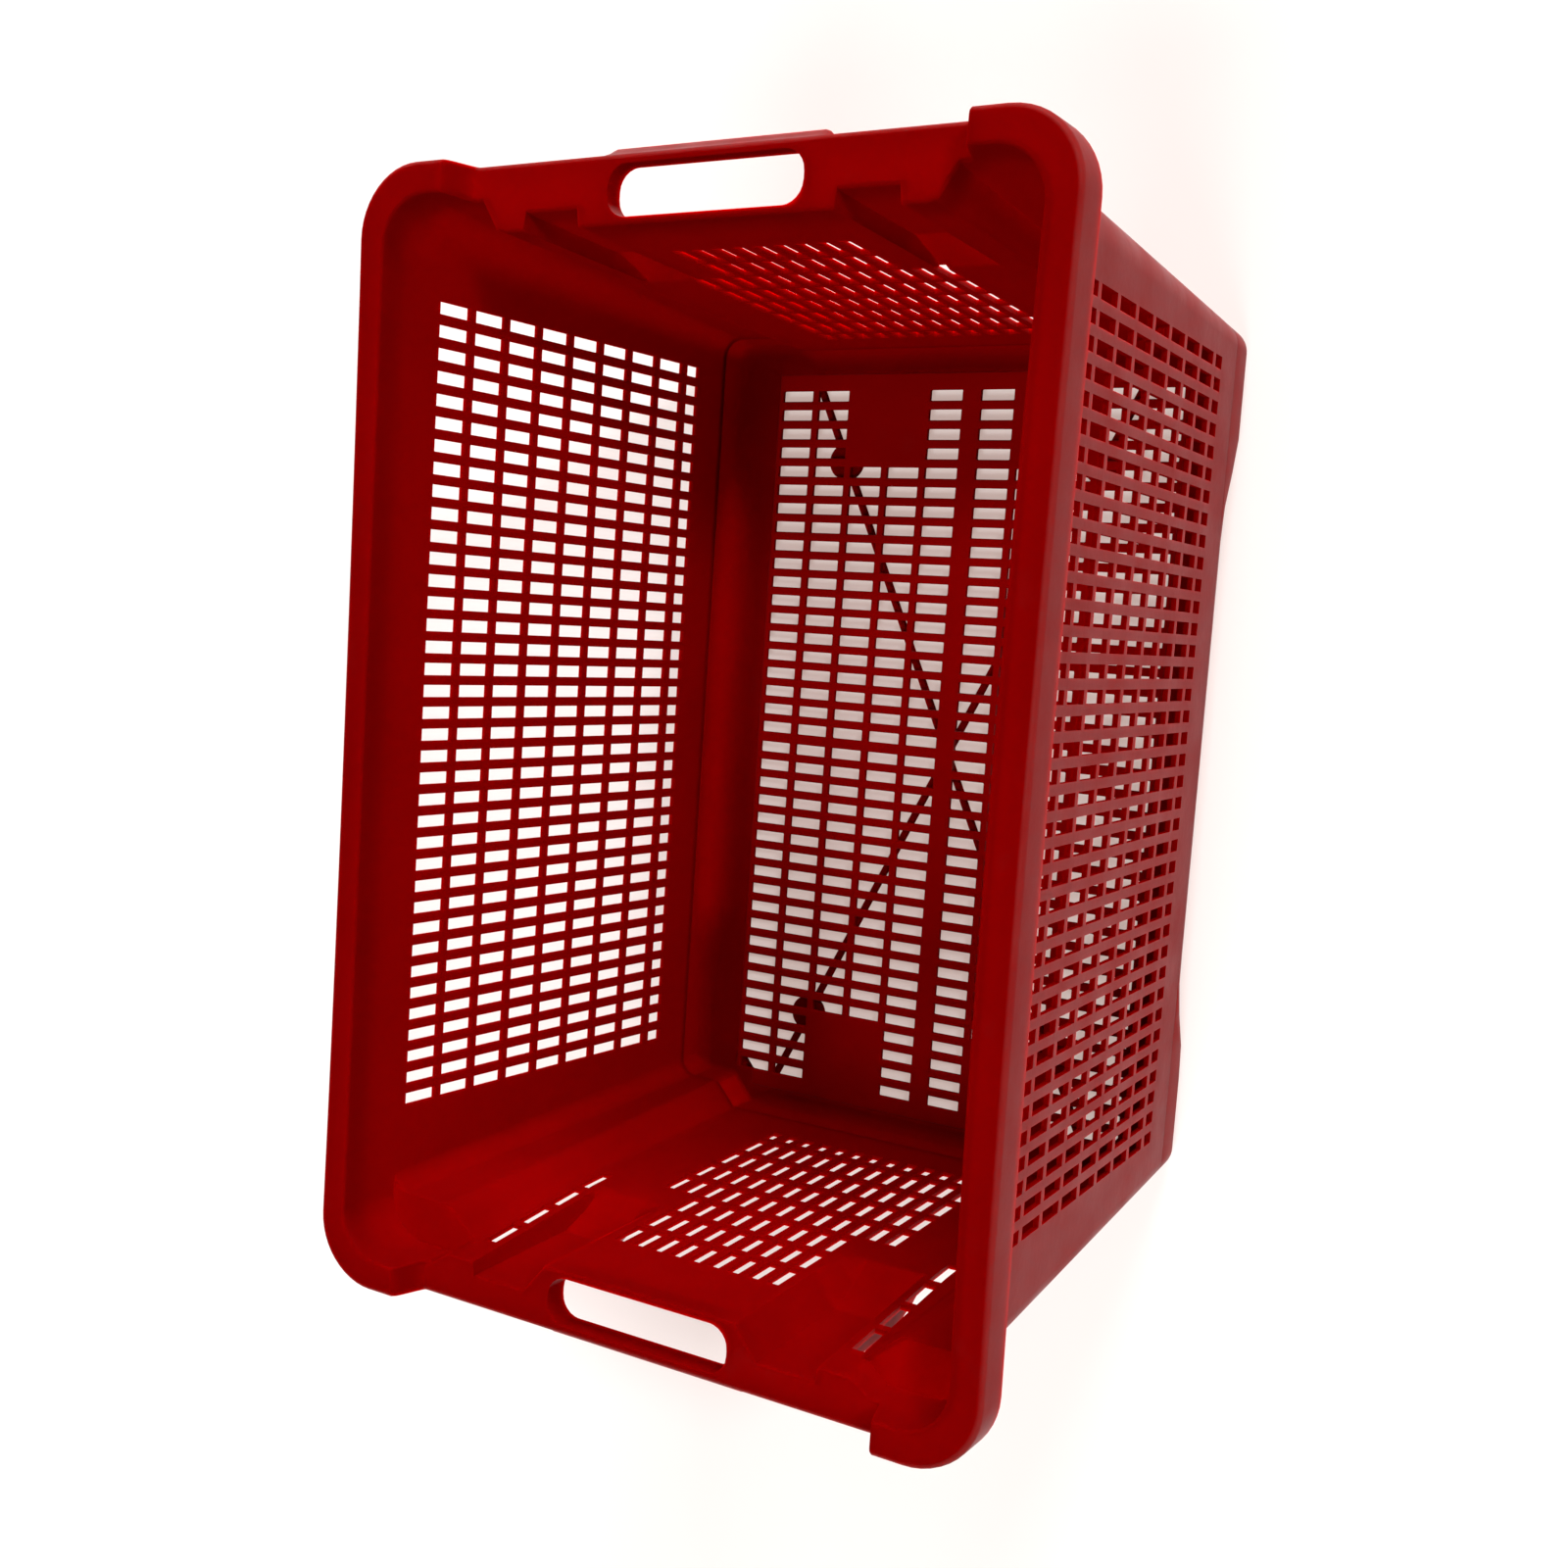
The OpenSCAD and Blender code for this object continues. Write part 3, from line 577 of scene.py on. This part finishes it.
def foot_corner(end, side):
    """From the long side round to the end, over the cheek"""
    corner = (end * (GRID_L if end > 0 else REAR_CORNER_X), side * GRID_W)
    fillet = FOOT_FILLET if end > 0 else REAR_FILLET
    sections = []
    for i in range(ARC + 1):
        turn = 90.0 * i / ARC
        a = math.radians(turn)
        out = (end * math.sin(a), side * math.cos(a))
        narrow = mix(FOOT_FILLET, fillet, i / ARC)
        sections.append(Section(Station("arc", end, side, turn), out, corner, FOOT_R, narrow))
    for y in FOOT_ZONE_Y:
        sections.append(Section(Station("zone", end, side, y), (end, 0), corner, FOOT_R, fillet))
    for q in CHEEK_SHARES:
        if end > 0:
            x = GRID_L
            y = mix(FRONT_CHEEK, FRONT_CHEEK + CHEEK_W, q)
        else:
            # The floor's edge steps round its rear corner
            x = GRID_L if q == 0.0 else REAR_CORNER_X
            y = GRID_W if q == 1.0 else LOW_CHEEK
        st = Station("cheek", end, side, q)
        sections.append(Section(st, (end, 0), (end * x, side * y), FOOT_R, fillet))
    return sections


def foot_end(end):
    """Along an end, between its cheeks"""
    sections = []
    for i in range(-5, 6):
        y = i * FOOT_END_STEP
        st = Station("panel", end, 1 if y >= 0 else -1, y)
        sections.append(Section(st, (end, 0), (end * GRID_L, y), FOOT_R, FOOT_FILLET))
    return sections


def foot_points(section):
    """Closed outline of the foot: down the inside, under the floor's edge, round the sole and up outside"""
    st, out, edge, radius, fillet = section
    out = Vector(out)
    edge = Vector(edge)
    pts = []

    def base(z):
        return Vector(inner(st, z))

    def put(p, z):
        pts.append((p.x, p.y, z))

    def clear(p, least):
        """Keep a point of a long side's foot clear of the floor slots"""
        if st.kind == "side" and abs(p.y) < least:
            return Vector((p.x, math.copysign(least, p.y)))
        return p

    put(base(FOOT_TOP), FOOT_TOP)
    for i in range(FILLET_STEPS + 1):
        t = math.radians(90.0 * i / FILLET_STEPS)
        z = FLOOR + fillet * (1 - math.sin(t))
        put(base(z) - out * fillet * (1 - math.cos(t)), z)
    put(edge, FLOOR)
    put(edge, FLOOR - PLATE)
    draw = WAIST_DRAW * clamp((radius - FOOT_R) / (WAIST_R - FOOT_R))
    heel = clear(base(0.0) + out * (WALL - radius - HEEL - draw), GRID_W + HEEL_LEAST)
    put(heel, FLOOR - PLATE)
    put(heel, 0.0)
    for i in range(ROUND_STEPS, -1, -1):
        t = math.radians(90.0 * i / ROUND_STEPS)
        z = radius * (1 - math.sin(t))
        drawn = draw * (1 - z / FOOT_TOP) ** DRAW_POWER
        p = base(z) + out * (WALL - radius * (1 - math.cos(t)) - drawn)
        put(clear(p, GRID_W + SOLE_LEAST), z)
    put(base(FOOT_TOP) + out * WALL, FOOT_TOP)
    return pts


def foot_mesh():
    """The foot as a closed ring of sections"""
    ring = [foot_points(s) for s in all_round(foot_side, foot_corner, foot_end)]
    size = len(ring[0])
    verts = [p for points in ring for p in points]
    faces = []
    for i in range(len(ring)):
        n = (i + 1) % len(ring)
        for j in range(size):
            k = (j + 1) % size
            faces.append((i * size + j, n * size + j, n * size + k, i * size + k))
    return verts, faces


shell = build("tub_shell", *shell_mesh())
thicken(shell, WALL)
round_edges(shell, width=0.45, segments=2)
plate = build("floor_plate", *floor_mesh())
thicken(plate, PLATE)
round_edges(plate, width=0.4, segments=1)
foot = build("foot_ring", *foot_mesh())
weigh_normals(foot, keep_sharp=False)

# The range that most of a noise's values lie in, and the full range
NOISE = (0.3, 0.7)
WHOLE = (0.0, 1.0)


def plastic(name, base, pale_wear_and_sheen, rough, through):
    """Red moulded plastic: cloudy and scratched, with fine grain and slight waves, and a painted sheen on the
    outside
    """
    mat = bpy.data.materials.new(name)
    mat.use_nodes = True
    nodes = mat.node_tree.nodes
    links = mat.node_tree.links
    bsdf = nodes["Principled BSDF"]
    coord = nodes.new("ShaderNodeTexCoord")

    def noise(scale, detail, stretch=(1.0, 1.0, 1.0)):
        move = nodes.new("ShaderNodeMapping")
        move.inputs["Scale"].default_value = stretch
        links.new(coord.outputs["Object"], move.inputs["Vector"])
        tex = nodes.new("ShaderNodeTexNoise")
        tex.inputs["Scale"].default_value = scale
        tex.inputs["Detail"].default_value = detail
        links.new(move.outputs["Vector"], tex.inputs["Vector"])
        return tex.outputs["Fac"]

    def ramp(value, source, target):
        node = nodes.new("ShaderNodeMapRange")
        node.inputs["From Min"].default_value = source[0]
        node.inputs["From Max"].default_value = source[1]
        node.inputs["To Min"].default_value = target[0]
        node.inputs["To Max"].default_value = target[1]
        links.new(value, node.inputs["Value"])
        return node.outputs["Result"]

    def blend(factor, a, b):
        node = nodes.new("ShaderNodeMix")
        node.data_type = "RGBA"
        links.new(factor, node.inputs["Factor"])
        for socket, value in ((node.inputs["A"], a), (node.inputs["B"], b)):
            if isinstance(value, tuple):
                socket.default_value = value + (1.0,)
            else:
                links.new(value, socket)
        return node.outputs["Result"]

    def vector_math(operation, a, b=None):
        node = nodes.new("ShaderNodeVectorMath")
        node.operation = operation
        links.new(a, node.inputs[0])
        if isinstance(b, tuple):
            node.inputs[1].default_value = b
        elif b is not None:
            links.new(b, node.inputs[1])
        return node.outputs["Value" if operation == "DOT_PRODUCT" else "Vector"]

    def bump(height, strength, distance):
        node = nodes.new("ShaderNodeBump")
        node.inputs["Strength"].default_value = strength
        node.inputs["Distance"].default_value = distance
        links.new(height, node.inputs["Height"])
        return node

    cloud = ramp(noise(scale=14.0, detail=4.0), NOISE, WHOLE)
    darker = tuple(c * 0.86 for c in base)
    colour = blend(cloud, darker, base)
    scratch = ramp(noise(scale=60.0, detail=3.0, stretch=(1.0, 1.0, 22.0)), (0.62, 0.72), (0.0, 0.05))
    colour = blend(scratch, colour, pale_wear_and_sheen)
    # Outer faces, which turn away from the tub's middle, are painted lighter in patches as a painted sheen,
    # and only they have a faint specular sheen
    surface = nodes.new("ShaderNodeNewGeometry")
    away = vector_math("MULTIPLY", surface.outputs["Position"], (1.0, 1.0, 0.0))
    facing = vector_math("DOT_PRODUCT", surface.outputs["Normal"], vector_math("NORMALIZE", away))
    outer = ramp(facing, (0.15, 0.5), WHOLE)
    painted_sheen = nodes.new("ShaderNodeMath")
    painted_sheen.operation = "MULTIPLY"
    links.new(outer, painted_sheen.inputs[0])
    links.new(ramp(noise(scale=40.0, detail=6.0), NOISE, (0.55, 0.95)), painted_sheen.inputs[1])
    colour = blend(painted_sheen.outputs["Value"], colour, pale_wear_and_sheen)
    links.new(colour, bsdf.inputs["Base Color"])
    uneven = ramp(noise(scale=30.0, detail=5.0), NOISE, (rough - 0.07, rough + 0.1))
    links.new(uneven, bsdf.inputs["Roughness"])
    links.new(ramp(outer, WHOLE, (0.0, 0.012)), bsdf.inputs["Specular IOR Level"])
    # Mostly red light passes through
    bsdf.inputs["Subsurface Weight"].default_value = through
    bsdf.inputs["Subsurface Radius"].default_value = (1.0, 0.015, 0.015)
    bsdf.inputs["Subsurface Scale"].default_value = 0.020
    grain = bump(noise(scale=220.0, detail=3.0), strength=0.12, distance=0.0006)
    waves = bump(noise(scale=9.0, detail=2.0), strength=0.25, distance=0.0012)
    links.new(grain.outputs["Normal"], waves.inputs["Normal"])
    links.new(waves.outputs["Normal"], bsdf.inputs["Normal"])
    return mat


# The thin walls let light through; the floor, which stands on ribs, lets less through. The floor's copy of
# the plastic has a lighter base colour, which paints in light that the floor does not get
red = plastic("tub_plastic", (0.112, 0.0002, 0.0003), (0.122, 0.010, 0.009), rough=0.36, through=0.6)
lightened_floor_red = plastic("floor_plastic", (0.19, 0.0004, 0.0005), (0.122, 0.012, 0.011), rough=0.36, through=0.1)

PARTS = {
    shell: (
        "side_wall", "end_wall", "corner_post", "nest_channel",
        "stack_pocket", "side_rim", "corner_rim", "handle_",
    ),
    plate: ("floor_grid",),
    foot: ("base_rail", "corner_foot", "cheek_foot"),
}
for obj, names in PARTS.items():
    obj.data.materials.append(lightened_floor_red if obj is plate else red)
    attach(obj, "root")
    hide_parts(*[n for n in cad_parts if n.startswith(names)])
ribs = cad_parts["floor_cross_ribs"]
ribs.data.materials.clear()
ribs.data.materials.append(red)

# Camera: the photograph's viewing angle, with the tub's front end towards the top of the picture.
# The picture's side, the focal length and the point straight ahead are in the photograph's pixels.
PICTURE = 1600.0
FOCAL = 1850.627
CENTRE_X = 745.42
CENTRE_Y = 841.58
right = Vector((0.063414, -0.848026, -0.526147))
down = Vector((-0.99149, -0.113596, 0.063591))
ahead = Vector((-0.113695, 0.517636, -0.848013))
place = Vector((0.07107, -0.44237, 0.96387))
lens = bpy.data.cameras.new("camera")
lens.sensor_width = 36.0
lens.lens = FOCAL / PICTURE * lens.sensor_width
lens.shift_x = (PICTURE / 2 - CENTRE_X) / PICTURE
lens.shift_y = (CENTRE_Y - PICTURE / 2) / PICTURE
lens.clip_end = 20.0
camera = bpy.data.objects.new("camera", lens)
scene.collection.objects.link(camera)
camera.matrix_world = Matrix((
    (right.x, -down.x, -ahead.x, place.x),
    (right.y, -down.y, -ahead.y, place.y),
    (right.z, -down.z, -ahead.z, place.z),
    (0.0, 0.0, 0.0, 1.0),
))
scene.camera = camera


def stage_paper():
    """Pale matt paper; half of what the camera sees of it is a warm glow"""
    mat = bpy.data.materials.new("stage_paper")
    mat.use_nodes = True
    nodes = mat.node_tree.nodes
    links = mat.node_tree.links
    matt = nodes["Principled BSDF"]
    matt.inputs["Base Color"].default_value = (0.80, 0.80, 0.80, 1.0)
    matt.inputs["Roughness"].default_value = 0.9
    matt.inputs["Specular IOR Level"].default_value = 0.1
    glow = nodes.new("ShaderNodeEmission")
    glow.inputs["Color"].default_value = (0.97, 0.73, 0.66, 1.0)
    glow.inputs["Strength"].default_value = 1.0
    path = nodes.new("ShaderNodeLightPath")
    share = nodes.new("ShaderNodeMath")
    share.operation = "MULTIPLY"
    share.inputs[1].default_value = 0.5
    links.new(path.outputs["Is Camera Ray"], share.inputs[0])
    both = nodes.new("ShaderNodeMixShader")
    links.new(share.outputs[0], both.inputs[0])
    links.new(matt.outputs[0], both.inputs[1])
    links.new(glow.outputs[0], both.inputs[2])
    links.new(both.outputs[0], nodes["Material Output"].inputs["Surface"])
    return mat


def studio():
    """A surround that is white to the camera and lights the tub less from overhead than from the sides"""
    world = bpy.data.worlds.new("studio")
    world.use_nodes = True
    nodes = world.node_tree.nodes
    links = world.node_tree.links
    sky = nodes["Background"]
    sky.inputs["Color"].default_value = (1.0, 1.0, 1.0, 1.0)
    coord = nodes.new("ShaderNodeTexCoord")
    axes = nodes.new("ShaderNodeSeparateXYZ")
    links.new(coord.outputs["Generated"], axes.inputs["Vector"])
    fade = nodes.new("ShaderNodeMapRange")
    fade.inputs["From Min"].default_value = 0.1
    fade.inputs["From Max"].default_value = 0.9
    fade.inputs["To Min"].default_value = 0.55
    fade.inputs["To Max"].default_value = 0.22
    links.new(axes.outputs["Z"], fade.inputs["Value"])
    path = nodes.new("ShaderNodeLightPath")
    seen = nodes.new("ShaderNodeMath")
    seen.operation = "MAXIMUM"
    links.new(path.outputs["Is Camera Ray"], seen.inputs[0])
    links.new(fade.outputs["Result"], seen.inputs[1])
    links.new(seen.outputs[0], sky.inputs["Strength"])
    return world


# Stage: a floor that keeps the tub's shadow
REACH = 6000.0
ground = build(
    "stage_floor",
    [(-REACH, -REACH, 0.0), (REACH, -REACH, 0.0), (REACH, REACH, 0.0), (-REACH, REACH, 0.0)],
    [(0, 1, 2, 3)],
)
ground.data.materials.append(stage_paper())
scene.world = studio()


def sun(name, towards, energy, spread):
    """A lamp that shines towards a direction, with its spread in degrees"""
    lamp = bpy.data.lights.new(name, "SUN")
    lamp.energy = energy
    lamp.angle = math.radians(spread)
    obj = bpy.data.objects.new(name, lamp)
    scene.collection.objects.link(obj)
    obj.rotation_euler = Vector(towards).to_track_quat("-Z", "Y").to_euler()


# A key from the camera's side, whose shadow falls behind the tub, a soft light from above the rear end, and a
# low one on the front wall, which shines through it
sun("key", (-0.48, 0.93, -1.0), energy=2.9, spread=10.0)
sun("top", (0.7, 0.05, -1.0), energy=2.3, spread=30.0)
sun("front", (-3.0, 0.4, -1.0), energy=4.8, spread=25.0)
